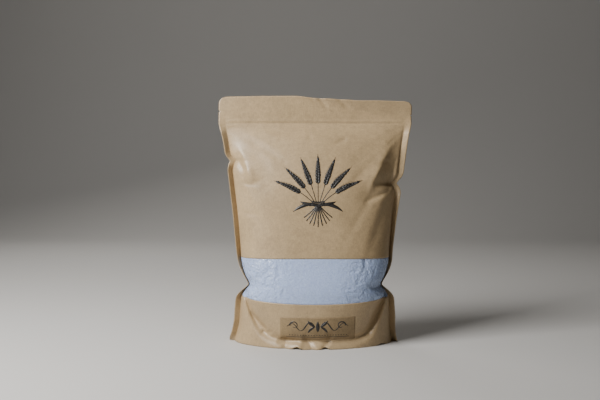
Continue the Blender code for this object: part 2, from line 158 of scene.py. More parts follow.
# Creases in millimetres: where each starts and ends, how deep it is and how far its sides reach.
Crease = namedtuple("Crease", "start end depth reach_up reach_down")
FRONT_CREASES = (
    Crease((-81, 212), (-103, 266), -3.3, 22, 12),
    Crease((-89, 216), (-105, 241), 2.4, 9, 6),
    Crease((-104, 264), (-48, 238), -1.0, 14, 7),
    Crease((-86, 195), (-66, 193), 0.6, 4, 3),
    Crease((-88, 160), (-64, 157), 0.7, 5, 4),
    Crease((72, 203), (104, 266), -3.0, 10, 18),
    Crease((94, 205), (111, 268), 8.2, 12, 20),
    Crease((97, 196), (68, 193), 6.5, 17, 8),
    Crease((84, 184), (57, 173), 3.2, 9, 6),
    Crease((95, 248), (88, 240), 1.1, 4, 4),
    Crease((86, 221), (74, 217), 1.1, 4, 4),
    Crease((34, 247), (19, 240), 1.2, 4, 4),
    Crease((-9, 263), (-5, 244), 0.6, 4, 5),
    Crease((24, 259), (8, 252), 0.6, 5, 4),
    Crease((-90, 72), (-62, 80), 4.0, 12, 10),
    Crease((90, 72), (66, 76), 4.5, 12, 9),
    Crease((-86, 95), (-62, 85), 1.0, 4, 4),
    Crease((-66, 84), (-53, 96), 1.1, 3, 4),
    Crease((-45, 95), (-40, 84), 0.7, 3, 3),
    Crease((-66, 74), (-42, 70), 0.8, 4, 4),
    Crease((-36, 66), (-16, 55), 0.7, 4, 4),
    Crease((59, 103), (64, 82), 1.0, 4, 4),
    Crease((80, 66), (62, 75), 1.8, 5, 5),
    Crease((-63, 23), (-79, 38), 3.4, 6, 3),
    Crease((-62, 17), (-50, 19), 1.6, 3, 3),
    Crease((-40, 8), (-20, 9), 2.6, 5, 4),
    Crease((78, 46), (62, 14), 5.5, 6, 16),
    Crease((62, 14), (40, 12), 1.6, 6, 5),
    Crease((-36, 0), (-35, 15), 2.8, 8, 9),
    Crease((-19, 0), (-15, 18), -1.6, 6, 6),
    Crease((-4, 1), (-15, 18), 2.6, 5, 7),
    Crease((11, 1), (21, 21), 3.2, 5, 8),
)
BACK_CREASES = (
    Crease((-98, 210), (-70, 200), 5.0, 16, 10),
    Crease((99, 205), (74, 190), 5.0, 16, 10),
    Crease((-90, 72), (-60, 77), 4.5, 12, 10),
    Crease((90, 72), (62, 80), 4.0, 12, 10),
    Crease((-30, 0), (-22, 18), 2.5, 8, 7),
    Crease((24, 0), (34, 20), 2.8, 8, 7),
)
# Creases in the flat header, where both sheets are pushed back together. They set in over the
# fade above the zip.
HEADER_CREASES = (
    Crease((4, 302), (16, 288), 1.6, 5, 4),
    Crease((-6, 301), (6, 293), 0.8, 4, 4),
    Crease((30, 300), (44, 286), 1.2, 6, 5),
)
HEADER_CREASE_FADE = 10 * MM
# A crease is deepest at its start, and runs on past it by this share of its length.
CREASE_TAIL = 0.3
# Where the skirt's lower edge is lifted off the ground: middle, height and reach. The lifts end
# at the height of the fade.
FRONT_LIFTS = (
    (-22 * MM, 3.4 * MM, 9 * MM),
    (12 * MM, 2.8 * MM, 8 * MM),
    (80 * MM, 2.2 * MM, 8 * MM),
)
BACK_LIFTS = ((-34 * MM, 2.0 * MM, 9 * MM), (30 * MM, 2.4 * MM, 9 * MM))
LIFT_FADE = 9 * MM

# How many cells the paper's grid has across a panel, across a seal, up the panel to the nearest
# even number in each part, and up the header.
PANEL_CELLS = 160
SEAL_CELLS = 6
BODY_CELLS = 200
HEADER_CELLS = 24
# How finely curves across and up the pouch are followed before they are cut into even cells.
SAMPLES_ACROSS = 900
SAMPLES_UP = 3000
# Half the thickness of the two sheets where they are sealed together.
HALF_SEAL = 0.3 * MM
# The base under the skirt: how far in from the skirt's edge and how high each of its rows lies.
# The edge's lifts fade inwards, and all of it shrinks where the pouch is narrow from front to back.
BASE_IN = np.array([0.6, 1.6, 3, 5, 8, 12, 17, 24]) * MM
BASE_RISE = np.array([0.1, 2.2, 4.0, 4.4, 3.0, 1.4, 0.5, 0.3]) * MM
BASE_EDGE_FADE = 5 * MM
BASE_MIDDLE_CELLS = 6
BASE_SQUARE = 60 * MM

# The cloth simulation, and how firmly it holds the panels, their sides, the seals and the header.
CLOTH = {
    "quality": 6,
    "mass": 0.05,
    "air_damping": 1,
    "tension_stiffness": 15,
    "compression_stiffness": 15,
    "shear_stiffness": 9,
    "bending_model": "ANGULAR",
    "bending_stiffness": 1.6,
    "pin_stiffness": 1,
}
CLOTH_FRAMES = 14
PANEL_HOLD = 0.12
LOOSE_SIDES = 0.7
SEAL_HOLD = 0.7
HEADER_HOLD = 0.8
MOST_HOLD = 0.98
# Where each hold begins and ends: across from the middle as a share of the half panel, up from
# the ground, and up from the zip.
LOOSE_ACROSS = (0.45, 0.8)
SEAL_HOLD_ACROSS = (0.93, 1)
GROUND_HOLD_UP = (4 * MM, 30 * MM)
HEADER_HOLD_UP = (0, 6 * MM)
# The share of the simulation's shift that is kept, and what is taken off it in quiet places.
CLOTH_SHARE = 0.28
MIDDLE_CALM = 0.6
LOWER_CALM = 0.75
HEADER_CALM = 0.8
SEAL_CALM = 0.6
SHOULDER_CALM = 0.8
# Where each calm begins and ends: across from the middle, up from the ground, up from the zip,
# out from the panel's side, and for the shoulders down from the zip and across.
MIDDLE_CALM_ACROSS = (25 * MM, 70 * MM)
LOWER_CALM_UP = (95 * MM, 150 * MM)
HEADER_CALM_UP = (-5 * MM, 12 * MM)
SEAL_CALM_OUT = (-4 * MM, 3 * MM)
SHOULDER_CALM_DOWN = (95 * MM, 70 * MM)
SHOULDER_CALM_ACROSS = (45 * MM, 70 * MM)

# The window: the pocket for the flour, the margin beside the seals, the film and the flour.
POCKET_DEPTH = 2.4 * MM
WINDOW_MARGIN_CELLS = 1
FILM_THICKNESS = 0.15 * MM
FILM_INSET = 0.15 * MM
FLOUR_GAP = 0.5 * MM
FLOUR_THICKNESS = 1.4 * MM

# Marks in the paper: how many lie along a metre, across, front to back and up.
LONG_FIBRES = (1500, 1500, 260)
CROSS_FIBRES = (240, 1100, 1300)
RIBS = (3, 3, 520)

# Label and prints float this far before the pouch until they are laid on it, with these gaps
# under them.
FLOAT_GAP = 20 * MM
LABEL_GAP = 0.06 * MM
LABEL_THICKNESS = 0.14 * MM
ORNAMENT_GAP = 0.03 * MM
PRINT_GAP = 0.05 * MM
INK_THICKNESS = 0.04 * MM
# The label's grid, and how its paper differs from the pouch's.
LABEL_COLUMNS = 64
LABEL_ROWS = 20
LABEL_LAMINATE = 0.05
LABEL_ROUGHNESS = 0.7
LABEL_CRUMPLE = 0.15 * MM

# A flat stroke of ink, in millimetres: the points along it and its width at each. One that
# swells has this width at its ends, and this power of a half wave for its shape.
Stroke = namedtuple("Stroke", "path widths")
STROKE_TIP = 0.12
STROKE_FULLNESS = 0.75

# The wheat sheaf, in millimetres and in degrees from straight up, positive to the right. Ears
# and stalks bend by these shares of an ear's angle.
EAR_ANGLES = (-58, -39, -19, 0, 19, 39, 58)
EAR_BEND = 0.2
STALK_BEND = 0.3
EAR_LENGTH = 25
EAR_STEM_WIDTH = 0.6
EAR_SWELL = 0.4
EAR_FULLEST = 0.35
GRAIN_PAIRS = 8
GRAIN_LENGTH = 7.5
GRAIN_WIDTH = 3.2
GRAIN_TILT = 36
GRAIN_TILT_LOST = 14
GRAIN_BEND = 24
TIP_GRAIN_SLIMNESS = 0.9
BEARD_LENGTH = 8
BEARD_WIDTH = 0.4
BEARD_TURN = 22
BEARD_BEND = 6
BEARD_TAPER = 0.6
STALK_LENGTH = 18
MIDDLE_STALK_EXTRA = 6
STALK_WIDTH = 0.9
STALK_SPACING = 1.5
TIE_HEIGHT = -14
STALK_ENDS = (-40, -30, -20, -10, 0, 10, 20, 30, 40)
STALK_END_LENGTH = 27
STALK_END_WIDTH = 1.3
STALK_END_LOSS = 0.1
# Each leaf's angle, bend and length.
SHEAF_LEAVES = ((-80, -50, 32), (80, 50, 32), (-100, 34, 22), (100, -34, 22))
SHEAF_LEAF_WIDTH = 4
BAND_HEIGHTS = (-2.2, 0, 2.2)
BAND_HALF_LENGTH = 8
BAND_SAG = 0.02
BAND_WIDTH = 1.7

# The studio floor, which sweeps up into a wall behind the pouch: where it starts, where the sweep
# starts and its radius, the wall's top and the floor's two sides.
FLOOR_FRONT = -3.0
SWEEP_START = 1.2
SWEEP_RADIUS = 0.8
SWEEP_TURNS = np.linspace(0.1, math.pi / 2, 14)
WALL_TOP = 3.0
FLOOR_SIDES = (-4.0, 4.0)

# The square lamps. Each one's power is a setting of the same name.
Lamp = namedtuple("Lamp", "place aim size colour")
LAMPS = {
    "key": Lamp((-0.72, -0.5, 0.8), (0, 0, 0.17), 0.5, (1, 0.98, 0.96)),
    "fill": Lamp((1.1, -1.3, 0.5), (0, 0, 0.15), 1.2, (1, 0.9, 0.76)),
    "back": Lamp((-0.5, 1.1, 0.95), (0, 0, 0.15), 0.6, (1, 0.97, 0.93)),
}
SURROUND_COLOUR = (1, 0.95, 0.88, 1)

# The camera: its place, how many degrees it looks down and its lens in millimetres.
CAMERA_PLACE = (-18.4 * MM, -1020 * MM, 230 * MM)
CAMERA_PITCH = 3.14
CAMERA_LENS = 50


def smoothstep(low, high, value):
    """0 up to low and 1 from high on, with a smooth climb between."""
    share = np.clip((value - low) / (high - low), 0, 1)
    return share * share * (3 - 2 * share)


def cusp(offset, reach_up, reach_down):
    """1 on a fold line, falling to 0 at its reach on either side, with a crease at the line."""
    soft = np.sqrt(offset**2 + FOLD_SOFTNESS**2) - FOLD_SOFTNESS
    share = 1 - soft / np.where(offset > 0, reach_up, reach_down)
    return np.clip(share, 0, 1) ** 2


def through(points, value):
    """Smooth monotone curve through (position, height) points."""
    at, heights = np.array(points, float).T
    slopes = np.diff(heights) / np.diff(at)
    before, after = slopes[:-1], slopes[1:]
    same_way = before * after > 0
    inner = np.where(same_way, 2 * before * after / np.where(same_way, before + after, 1), 0)
    tangents = np.concatenate([slopes[:1], inner, slopes[-1:]])
    value = np.clip(value, at[0], at[-1])
    i = np.clip(np.searchsorted(at, value) - 1, 0, len(slopes) - 1)
    width = at[i + 1] - at[i]
    t = (value - at[i]) / width
    return (
        heights[i] * (1 + 2 * t) * (1 - t) ** 2
        + tangents[i] * width * t * (1 - t) ** 2
        + heights[i + 1] * t * t * (3 - 2 * t)
        + tangents[i + 1] * width * t * t * (t - 1)
    )


def station(field, z):
    """One measure of the plain pouch at the heights z."""
    return through([(s.height, getattr(s, field)) for s in STATIONS], z)


def root_half_width(side, z):
    """Half width to a side seal's inner edge, with the pinched waist, a buckle and the foot."""
    width = station("half_width", z)
    pinch = cusp(z - WAIST_HEIGHT, WAIST_REACH_UP, WAIST_REACH_DOWN) ** WAIST_SHARPNESS
    width = width - WAIST_PINCH * pinch
    for buckle_side, height, depth, reach in BUCKLES:
        if buckle_side == side:
            width = width - depth * cusp(z - height, reach, reach)
    if side > 0:
        width = width - FOOT_DRAW * (1 - smoothstep(FOOT_DRAW_LOW, FOOT_DRAW_HIGH, z))
    return width


def crease_depth(crease, x, z):
    """How deep a crease lies at the points x, z of its panel."""
    (ax, az), (bx, bz) = np.array(crease.start) * MM, np.array(crease.end) * MM
    dx, dz = bx - ax, bz - az
    share = np.clip(((x - ax) * dx + (z - az) * dz) / (dx * dx + dz * dz), -CREASE_TAIL, 1)
    off_x, off_z = x - (ax + share * dx), z - (az + share * dz)
    side = off_z if abs(dx) > abs(dz) else off_x
    fade = (1 - np.clip(share, 0, 1) ** 2) * (1 - np.clip(-share / CREASE_TAIL, 0, 1) ** 2)
    away = np.copysign(np.hypot(off_x, off_z), side)
    return crease.depth * MM * fade * cusp(away, crease.reach_up * MM, crease.reach_down * MM)


def bulge(side_y, x, z):
    """How far the plain surface stands out from the mid-plane, for the front (-1) or back (1)."""
    full = station("half_width", z)
    half = np.where(x > 0, root_half_width(1, z), root_half_width(-1, z))
    share = np.abs(x) / full + (full - half) / full * (np.abs(x) / half) ** PINCH_POWER
    roundness = station("roundness", z)
    deep = station("front" if side_y < 0 else "back", z)
    return deep * (1 - np.clip(share, 0, 1) ** roundness) ** (1 / roundness)


def folded_bulge(side_y, x, z):
    """The bulge with its seam valley and its creases."""
    plain = bulge(side_y, x, z)
    share = np.clip(np.abs(x) / station("half_width", z), 0, 1)
    seam = SEAM_LOW + (SEAM_HIGH - SEAM_LOW) * share**SEAM_POWER
    fold = SEAM_DEPTH * cusp(z - seam, SEAM_REACH_UP, SEAM_REACH_DOWN)
    for crease in FRONT_CREASES if side_y < 0 else BACK_CREASES:
        fold = fold + crease_depth(crease, x, z)
    return np.maximum(plain - fold * smoothstep(0, FOLD_FADE, plain), LEAST_BULGE * plain)


def panel(side_y, z):
    """x and y of a panel's grid points for each height in z, evenly spaced along the paper."""
    z = z[:, None]
    share = np.sin(np.linspace(-math.pi / 2, math.pi / 2, SAMPLES_ACROSS))[None, :]
    x = share * np.where(share > 0, root_half_width(1, z), root_half_width(-1, z))
    out = folded_bulge(side_y, x, z)
    steps = np.hypot(np.diff(x), np.diff(out))
    run = np.concatenate([np.zeros((len(z), 1)), np.cumsum(steps, axis=1)], axis=1)
    wanted = np.linspace(0, 1, PANEL_CELLS + 1)
    even = [np.interp(wanted, r / r[-1], np.arange(SAMPLES_ACROSS)) for r in run]
    index = np.arange(SAMPLES_ACROSS)
    grid_x = np.array([np.interp(e, index, row) for e, row in zip(even, x)])
    grid_out = np.array([np.interp(e, index, row) for e, row in zip(even, out)])
    return grid_x, station("lean", z) + side_y * (grid_out + HALF_SEAL)


def header_half_width(side, z):
    """Half width of the flat header, with a rounded top corner and a tear notch."""
    over = np.clip(z - (HEIGHT - TOP_CORNER_RADIUS), 0, TOP_CORNER_RADIUS)
    width = FLAT_WIDTH / 2 - TOP_CORNER_RADIUS + np.sqrt(TOP_CORNER_RADIUS**2 - over**2)
    for notch_side, height in NOTCHES:
        if notch_side == side:
            width = width - NOTCH_DEPTH * np.clip(1 - np.abs(z - height) / NOTCH_REACH, 0, 1)
    return width


def trimmed(x, z):
    """The header's x, drawn in to its rounded corners and notches."""
    inner = FLAT_WIDTH / 2 - CORNER_ZONE
    half = np.where(x > 0, header_half_width(1, z), header_half_width(-1, z))
    beyond = np.clip(np.abs(x) - inner, 0, None)
    drawn = np.copysign(inner + beyond * (half - inner) / CORNER_ZONE, x)
    return np.where((np.abs(x) > inner) & (z > ZIP_HEIGHT), drawn, x)


def placed(side_y, x, y, z):
    """The points with the header's lean and sag, the waist's squeeze and the skirt's lifts."""
    share = np.clip(z - ZIP_HEIGHT, 0, 1) / (HEIGHT - ZIP_HEIGHT)
    (x0, z0), (x1, z1) = HEADER_FOLD_START, HEADER_FOLD_END
    fold = z0 + (z1 - z0) * (x - x0) / (x1 - x0)
    over = z - np.maximum(fold, ZIP_HEIGHT + ZIP_FADE)
    over = (over + np.hypot(over, HEADER_FOLD_SOFTNESS)) / 2
    over = over * smoothstep(0, ZIP_FADE, z - ZIP_HEIGHT)
    back = HEADER_LEAN * over
    dent = sum(crease_depth(crease, x, z) for crease in HEADER_CREASES)
    back = back + dent * smoothstep(ZIP_HEIGHT, ZIP_HEIGHT + HEADER_CREASE_FADE, z)
    back = back + HEADER_BOW * share * (2 * x / FLAT_WIDTH) ** 2
    drop = through(HEADER_DROPS, x / MM) * MM * share
    away = (z - WAIST_HEIGHT) / WAIST_SQUEEZE_REACH
    across = np.clip(np.abs(x) / station("half_width", z), 0, 1)
    draw = (away - WAIST_SQUEEZE_SHIFT) * np.exp((1 - away**2) / 2) * smoothstep(0, WINDOW_LOW, z)
    lift = 0
    for middle, height, reach in FRONT_LIFTS if side_y < 0 else BACK_LIFTS:
        lift = lift + height * cusp(x - middle, reach, reach) * np.clip(1 - z / LIFT_FADE, 0, 1)
    ridge = sum(cusp(z - at, ZIP_RIDGE_REACH, ZIP_RIDGE_REACH) for at in ZIP_RIDGES)
    seal_gap = FLAT_WIDTH / 2 - SEAL_WIDTH - np.abs(x)
    ridge = ridge * ZIP_RIDGE_RISE * smoothstep(0, ZIP_FADE, seal_gap)
    z = z - drop - WAIST_SQUEEZE * across**2 * draw + lift
    return np.stack([x, y + back + side_y * ridge, z], axis=-1)


def body_heights():
    """Heights of the grid's rows up to the zip, even along the front's middle, and their run.

    Rows fall on the window's two edges.
    """
    z = np.linspace(0, ZIP_HEIGHT, SAMPLES_UP)
    out = bulge(-1, np.zeros_like(z), z) - station("lean", z)
    run = np.concatenate([[0], np.cumsum(np.hypot(np.diff(z), np.diff(out)))])
    edges = np.interp([0, WINDOW_LOW, WINDOW_HIGH, ZIP_HEIGHT], z, run)
    runs = [edges[:1]]
    for low, high in zip(edges, edges[1:]):
        cells = 2 * round((high - low) / run[-1] * BODY_CELLS / 2)
        runs.append(np.linspace(low, high, cells + 1)[1:])
    runs = np.concatenate(runs)
    return np.interp(runs, run, z), runs


def paper_grids():
    """The front and the back as grids of points with seals and header, and the flat cut."""
    body_z, body_run = body_heights()
    above = (HEIGHT - ZIP_HEIGHT) * np.arange(1, HEADER_CELLS + 1) / HEADER_CELLS
    z = np.concatenate([body_z, ZIP_HEIGHT + above])
    v = np.concatenate([body_run, body_run[-1] + above])
    away = SEAL_WIDTH * np.arange(1, SEAL_CELLS + 1) / SEAL_CELLS
    u = np.linspace(-PANEL_WIDTH / 2, PANEL_WIDTH / 2, PANEL_CELLS + 1)
    u = np.concatenate([u[0] - away[::-1], u, u[-1] + away])

    grids = []
    for side_y in (-1, 1):
        inner_x, inner_y = panel(side_y, z)
        parts_x, parts_y = [inner_x], [inner_y]
        for side, folds in ((-1, LEFT_SEAL_FOLD), (1, RIGHT_SEAL_FOLD)):
            turn = np.radians(through(folds, z / MM))[:, None]
            root = inner_x[:, :1] if side < 0 else inner_x[:, -1:]
            seal_x = root + side * (away * np.cos(turn) - side_y * HALF_SEAL * np.sin(turn))
            seal_y = station("lean", z)[:, None] + away * np.sin(turn)
            seal_y = seal_y + side_y * HALF_SEAL * np.cos(turn)
            if side < 0:
                parts_x.insert(0, seal_x[:, ::-1])
                parts_y.insert(0, seal_y[:, ::-1])
            else:
                parts_x.append(seal_x)
                parts_y.append(seal_y)
        x, y = np.concatenate(parts_x, axis=1), np.concatenate(parts_y, axis=1)
        tall = np.broadcast_to(z[:, None], x.shape)
        grids.append(placed(side_y, trimmed(x, tall), y, tall))
    return grids[0], grids[1], np.stack(np.meshgrid(u, v), axis=-1)


def finer(field):
    """A grid of vectors on a grid twice as fine, on smooth curves."""
    for axis in (0, 1):
        field = np.moveaxis(field, axis, 0)
        wide = np.concatenate([2 * field[:1] - field[1:2], field, 2 * field[-1:] - field[-2:-1]])
        out = np.empty((2 * len(field) - 1, *field.shape[1:]))
        out[::2] = field
        out[1::2] = (9 * (wide[1:-2] + wide[2:-1]) - wide[:-3] - wide[3:]) / 16
        field = np.moveaxis(out, 0, axis)
    return field


def hold_weights(flat, zip_run):
    """How firmly the simulation holds each point: loose beside the seals, fast on the ground."""
    across = np.abs(flat[:, 0]) / (PANEL_WIDTH / 2)
    hold = PANEL_HOLD * (1 - LOOSE_SIDES * smoothstep(*LOOSE_ACROSS, across))
    hold = np.minimum(hold + SEAL_HOLD * smoothstep(*SEAL_HOLD_ACROSS, across), MOST_HOLD)
    hold = np.maximum(hold, 1 - smoothstep(*GROUND_HOLD_UP, flat[:, 1]))
    return np.maximum(hold, HEADER_HOLD * smoothstep(*HEADER_HOLD_UP, flat[:, 1] - zip_run))


def kept_share(cut, zip_run):
    """The share of the simulation's shift kept at each point: less in the middle and low down."""
    across, up = np.abs(cut[..., 0]), cut[..., 1]
    middle = 1 - MIDDLE_CALM * (1 - smoothstep(*MIDDLE_CALM_ACROSS, across))
    lower = 1 - LOWER_CALM * (1 - smoothstep(*LOWER_CALM_UP, up))
    header = 1 - HEADER_CALM * smoothstep(*HEADER_CALM_UP, up - zip_run)
    seal = 1 - SEAL_CALM * smoothstep(*SEAL_CALM_OUT, across - PANEL_WIDTH / 2)
    high = smoothstep(*(zip_run - down for down in SHOULDER_CALM_DOWN), up)
    shoulder = 1 - SHOULDER_CALM * high * smoothstep(*SHOULDER_CALM_ACROSS, across)
    return (CLOTH_SHARE * middle * lower * header * seal * shoulder)[..., None]


def settled(points, flat, faces, zip_run):
    """The points after a cloth simulation in which the paper takes back the size it was cut to."""
    cloth = mesh_object("paper_cloth", points, faces)
    make_active(cloth)
    cloth.shape_key_add(name="Basis")
    cut_key = cloth.shape_key_add(name="cut")
    cut_key.data.foreach_set("co", np.insert(flat, 1, 0, axis=1).astype(np.float32).reshape(-1))
    group = cloth.vertex_groups.new(name="hold")
    for number, weight in enumerate(hold_weights(flat, zip_run)):
        group.add([number], float(weight), "REPLACE")
    # A weight modifier that changes nothing stands first, because a cloth at the head of the list
    # ignores its rest shape.
    cloth.modifiers.new("hold", "VERTEX_WEIGHT_EDIT").vertex_group = group.name
    modifier = cloth.modifiers.new("cloth", "CLOTH")
    for name, value in CLOTH.items():
        setattr(modifier.settings, name, value)
    modifier.settings.vertex_group_mass = group.name
    modifier.settings.rest_shape_key = cut_key
    modifier.settings.effector_weights.gravity = 0
    modifier.collision_settings.use_collision = False
    modifier.collision_settings.use_self_collision = False
    modifier.point_cache.frame_end = CLOTH_FRAMES
    for number in range(1, CLOTH_FRAMES + 1):
        bpy.context.scene.frame_set(number)
    done = cloth.evaluated_get(bpy.context.evaluated_depsgraph_get())
    moved = np.zeros(len(points) * 3, np.float32)
    done.data.vertices.foreach_get("co", moved)
    bpy.context.scene.frame_set(1)
    bpy.data.meshes.remove(cloth.data)
    return moved.reshape(-1, 3)


def crumpled(front, back, cut):
    """The two grids with the folds that the paper takes, worked out on every second point."""
    rough, rough_back, rough_cut = front[::2, ::2], back[::2, ::2], cut[::2, ::2]
    rows, columns = rough.shape[:2]
    seal = SEAL_CELLS // 2
    zip_row = rows - 1 - HEADER_CELLS // 2
    front_index = numbered((rows, columns))
    # The back's panel shares the front's points at its sides and the zip, and has its own between.
    back_index = front_index[: zip_row + 1, seal : columns - seal].copy()
    own = slice(0, zip_row), slice(seal + 1, columns - seal - 1)
    back_index[:-1, 1:-1] = numbered(rough_back[own].shape[:2], rows * columns)
    points = np.concatenate([rough.reshape(-1, 3), rough_back[own].reshape(-1, 3)])
    flat = np.concatenate([rough_cut.reshape(-1, 2), rough_cut[own].reshape(-1, 2)])
    faces = grid_quads(front_index) + grid_quads(back_index[:, ::-1])
    zip_run = rough_cut[zip_row, 0, 1]
    shift = settled(points, flat, faces, zip_run) - points
    front_shift = finer(shift[front_index])
    back_shift = front_shift.copy()
    body = slice(0, 2 * zip_row + 1), slice(SEAL_CELLS, -SEAL_CELLS)
    back_shift[body] = finer(shift[back_index])
    kept = kept_share(cut, zip_run)
    front, back = front + front_shift * kept, back + back_shift * kept
    # The two sheets never pass through each other.
    middle = (front[..., 1] + back[..., 1]) / 2
    front[..., 1] = np.minimum(front[..., 1], middle - HALF_SEAL)
    back[..., 1] = np.maximum(back[..., 1], middle + HALF_SEAL)
    front[..., 2] = np.maximum(front[..., 2], 0)
    back[..., 2] = np.maximum(back[..., 2], 0)
    return front, back


def window_faces():
    """Numbers of the front's faces that the window takes, in a mesh that starts with them."""
    body_z, _ = body_heights()
    low, high = (int(np.argmin(np.abs(body_z - edge))) for edge in (WINDOW_LOW, WINDOW_HIGH))
    columns = PANEL_CELLS + 2 * SEAL_CELLS
    inner = np.arange(SEAL_CELLS + WINDOW_MARGIN_CELLS, columns - SEAL_CELLS - WINDOW_MARGIN_CELLS)
    return (np.arange(low, high)[:, None] * columns + inner[None, :]).reshape(-1)


def base_rows(edge, inwards, narrow):
    """Rows of points from a lower edge inwards, where the skirt hides them."""
    rows = []
    for inset, rise in zip(BASE_IN, BASE_RISE):
        row = edge + inwards * inset * narrow
        row[:, 2] = row[:, 2] * max(1 - inset / BASE_EDGE_FADE, 0) + rise * narrow[:, 0]
        rows.append(row)
    return rows


def base_points(front_edge, back_edge):
    """Rows of points from the front's lower edge to the back's, up into the skirt and across."""
    gap = np.linalg.norm(back_edge - front_edge, axis=1, keepdims=True)
    across = (back_edge - front_edge) / gap
    narrow = np.minimum(gap / BASE_SQUARE, 1)
    near = base_rows(front_edge, across, narrow)
    far = base_rows(back_edge, -across, narrow)
    shares = np.arange(1, BASE_MIDDLE_CELLS) / BASE_MIDDLE_CELLS
    between = [near[-1] + (far[-1] - near[-1]) * share for share in shares]
    return np.array(near + between + far[::-1])


def numbered(shape, start=0):
    """A grid of vertex numbers, from start on."""
    return start + np.arange(shape[0] * shape[1]).reshape(shape)


def grid_quads(index):
    """The faces of a grid of vertex numbers, which point to a viewer with columns to the right
    and rows going up."""
    corners = index[:-1, :-1], index[:-1, 1:], index[1:, 1:], index[1:, :-1]
    return np.stack(corners, axis=-1).reshape(-1, 4).tolist()


def mesh_object(name, points, faces):
    """A smooth mesh in the scene, with its place in the mesh."""
    mesh = bpy.data.meshes.new(name)
    mesh.from_pydata(points.reshape(-1, 3).tolist(), [], faces)
    mesh.polygons.foreach_set("use_smooth", [True] * len(mesh.polygons))
    mesh.update()
    made = bpy.data.objects.new(name, mesh)
    bpy.context.scene.collection.objects.link(made)
    return made


def make_pouch(front, back, cut):
    """The closed skin of the pouch: front, back, the edges between them and the base."""
    rows, columns = front.shape[:2]
    front_index = numbered((rows, columns))
    back_index = numbered((rows, columns), rows * columns)
    inner = slice(SEAL_CELLS, columns - SEAL_CELLS)
    base = base_points(front[0, inner], back[0, inner])
    base_index = numbered(base.shape[:2], 2 * rows * columns)
    base_index = np.concatenate([front_index[:1, inner], base_index, back_index[:1, inner]])
    faces = grid_quads(front_index) + grid_quads(back_index[:, ::-1])
    faces += grid_quads(np.stack([back_index[:, 0], front_index[:, 0]], axis=1))
    faces += grid_quads(np.stack([front_index[:, -1], back_index[:, -1]], axis=1))
    faces += grid_quads(np.stack([front_index[-1], back_index[-1]]))
    faces += grid_quads(base_index[::-1])
    left = np.stack([back_index[0, : SEAL_CELLS + 1], front_index[0, : SEAL_CELLS + 1]])
    right = np.stack([back_index[0, -SEAL_CELLS - 1 :], front_index[0, -SEAL_CELLS - 1 :]])
    faces += grid_quads(left)[:-1] + grid_quads(right)[1:]
    # The seal's last face carries every point of the base's end, so that no edge is left open.
    faces.append([left[1, -2], left[0, -2]] + base_index[::-1, 0].tolist())
    faces.append([right[0, 1], right[1, 1]] + base_index[:, -1].tolist())
    points = np.concatenate([front.reshape(-1, 3), back.reshape(-1, 3), base.reshape(-1, 3)])
    pouch = mesh_object("pouch_paper", points, faces)
    flat = np.concatenate([cut.reshape(-1, 2), cut.reshape(-1, 2), base.reshape(-1, 3)[:, :2]])
    corners = np.zeros(len(pouch.data.loops), np.int32)
    pouch.data.loops.foreach_get("vertex_index", corners)
    uv = pouch.data.uv_layers.new(name="cut")
    uv.data.foreach_set("uv", flat[corners].reshape(-1))
    return pouch


def make_active(piece):
    """Selects the piece alone."""
    bpy.ops.object.select_all(action="DESELECT")
    bpy.context.view_layer.objects.active = piece
    piece.select_set(True)


def select_faces(piece, chosen):
    """Edit mode on the piece with just the chosen faces selected."""
    make_active(piece)
    bpy.ops.object.mode_set(mode="EDIT")
    bpy.ops.mesh.select_mode(type="FACE")
    bpy.ops.mesh.select_all(action="DESELECT")
    bpy.ops.object.mode_set(mode="OBJECT")
    flags = np.zeros(len(piece.data.polygons), bool)
    flags[chosen] = True
    piece.data.polygons.foreach_set("select", flags)
    bpy.ops.object.mode_set(mode="EDIT")


def copied_patch(piece, chosen, name):
    """The chosen faces of a piece as a new object."""
    select_faces(piece, chosen)
    bpy.ops.mesh.duplicate()
    bpy.ops.mesh.separate(type="SELECTED")
    bpy.ops.object.mode_set(mode="OBJECT")
    patch = next(o for o in bpy.context.selected_objects if o != piece)
    patch.name = patch.data.name = name
    patch.data.materials.clear()
    return patch


def apply_modifier(piece, kind, **settings):
    """Adds a modifier of this kind to the piece and applies it."""
    modifier = piece.modifiers.new(kind.lower(), kind)
    for key, value in settings.items():
        setattr(modifier, key, value)
    make_active(piece)
    bpy.ops.object.modifier_apply(modifier=modifier.name)


def fatten(piece, chosen, distance):
    """Moves the chosen faces along their normals, outwards for a positive distance."""
    select_faces(piece, chosen)
    bpy.ops.transform.shrink_fatten(value=distance)
    bpy.ops.object.mode_set(mode="OBJECT")


def finish_piece(piece, material, replaced=()):
    """Gives the piece its material and its body, and hides the CAD parts that it stands for."""
    piece.data.materials.clear()
    piece.data.materials.append(material)
    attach(piece, "root")
    if replaced:
        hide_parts(*replaced)


class Signal:
    """The output of a material's node; Python's arithmetic on it adds Math nodes."""

    def __init__(self, finish, socket):
        self.finish = finish
        self.socket = socket

    def _math(self, operation, *values):
        return self.finish.node("ShaderNodeMath", {"operation": operation}, enumerate(values))

    def __add__(self, other):
        return self._math("ADD", self, other)

    __radd__ = __add__

    def __mul__(self, other):
        return self._math("MULTIPLY", self, other)

    __rmul__ = __mul__

    def __sub__(self, other):
        return self._math("SUBTRACT", self, other)

    def __rsub__(self, other):
        return self._math("SUBTRACT", other, self)

    def __abs__(self):
        return self._math("ABSOLUTE", self)


